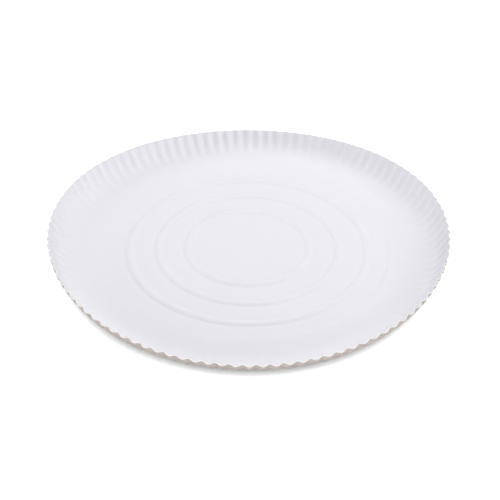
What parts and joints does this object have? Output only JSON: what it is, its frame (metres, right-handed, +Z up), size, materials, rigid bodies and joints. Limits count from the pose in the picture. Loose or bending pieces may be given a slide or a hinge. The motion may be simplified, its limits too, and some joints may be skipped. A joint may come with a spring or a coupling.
{
  "type": "paper plate",
  "caption": "Round shallow paper plate pressed from one sheet of board, with raised rings in its flat floor and a curved wall that ends in a fluted rim, curled a little higher at two sides.",
  "frame": {"origin": "middle of the floor's underside, on the surface that the plate stands on", "axes": "+Z straight up out of the plate, along the axis it is round about; X towards the two sides where the rim is curled up higher"},
  "size_m": [0.2317, 0.2316, 0.0178],
  "materials": {
    "board": "matt white coated board, bare grey-brown underneath"
  },
  "bodies": {
    "root": {"plate": "board"}
  },
  "joints": []
}
